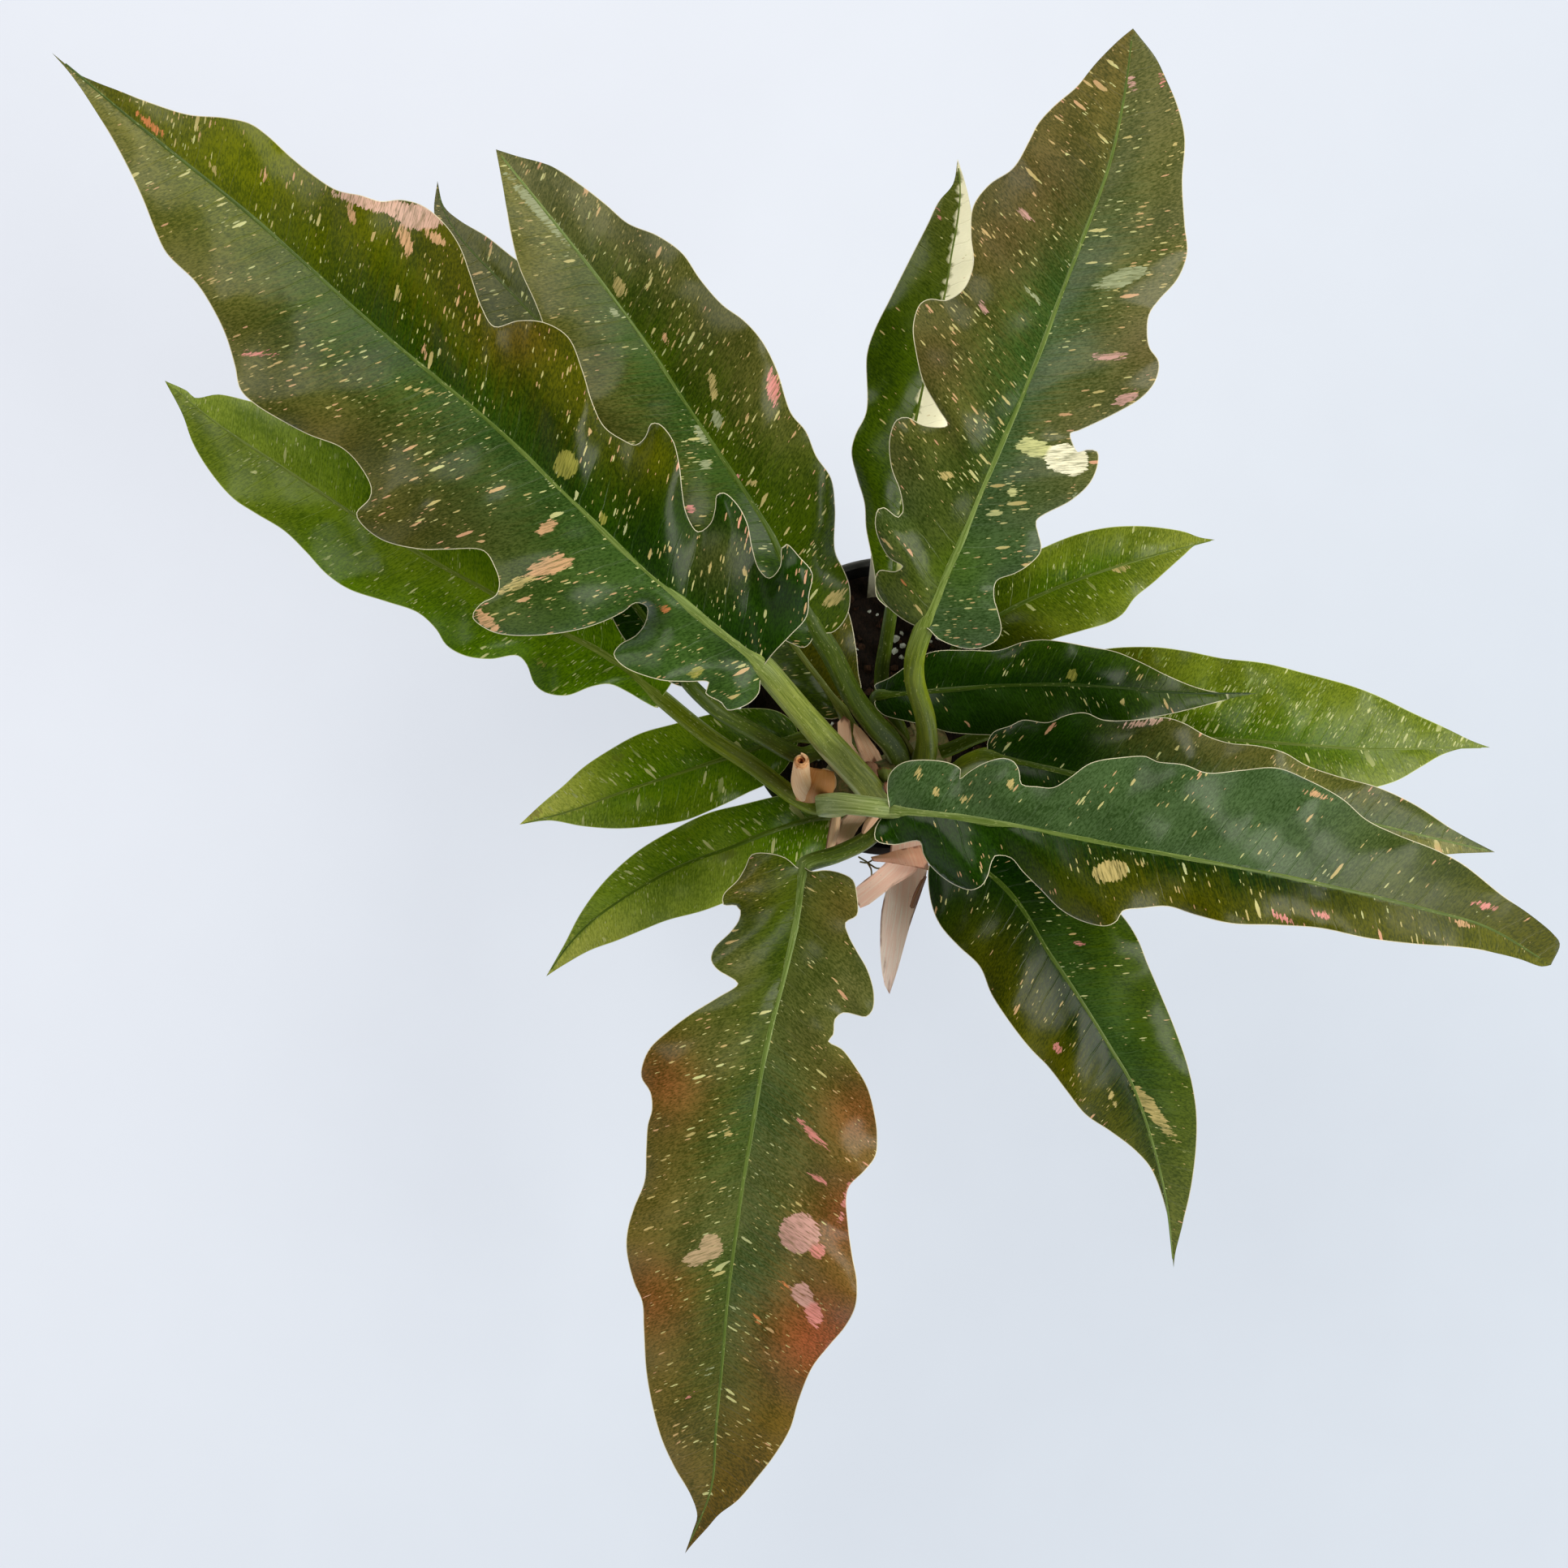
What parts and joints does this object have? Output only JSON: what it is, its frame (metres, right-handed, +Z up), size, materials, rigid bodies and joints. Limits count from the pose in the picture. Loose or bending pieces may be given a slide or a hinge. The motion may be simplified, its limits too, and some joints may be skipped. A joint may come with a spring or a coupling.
{
  "type": "potted ring of fire philodendron",
  "caption": "Philodendron with long wavy lobed leaves mottled green, bronze, cream and pink, rooted in potting mix in a round black nursery pot with a blank plant label.",
  "frame": {"origin": "middle of the pot's underside, on the surface it stands on", "axes": "+Z up; seen from above, +X to the right of the picture and +Y to the top of the picture"},
  "size_m": [0.663, 0.7078, 0.3399],
  "materials": {
    "pot": "satin",
    "soil": "matte",
    "stem": "satin",
    "label": "satin",
    "dark_leaf": "satin",
    "fresh_leaf": "satin",
    "peach_sheath": "satin",
    "dried_sheath": "matte"
  },
  "bodies": {
    "root": {"pot": "pot", "soil": "soil", "stem": "stem", "plant_label": "label", "leaf_01_largest_upper_left": "dark_leaf", "leaf_02_upper_left": "dark_leaf", "leaf_03_behind_upper_left": "dark_leaf", "leaf_04_right": "dark_leaf", "leaf_05_upper_right": "dark_leaf", "leaf_06_downward": "dark_leaf", "leaf_07_lower_right": "dark_leaf", "leaf_08_right_dark": "dark_leaf", "leaf_09_right_behind": "fresh_leaf", "leaf_10_right_short": "dark_leaf", "leaf_11_small_right": "fresh_leaf", "leaf_12_half_cream": "dark_leaf", "leaf_13_left": "fresh_leaf", "leaf_14_left_hidden": "dark_leaf", "leaf_15_lower_left_small": "fresh_leaf", "leaf_16_lower_left": "fresh_leaf", "new_leaf_spear": "peach_sheath", "peach_sheath_collar": "peach_sheath", "dried_sheath_1_upper": "dried_sheath", "dried_sheath_2_upper": "dried_sheath", "dried_sheath_3_lower": "dried_sheath", "dried_sheath_4_long": "dried_sheath", "dried_sheath_5_side": "dried_sheath"}
  },
  "joints": []
}
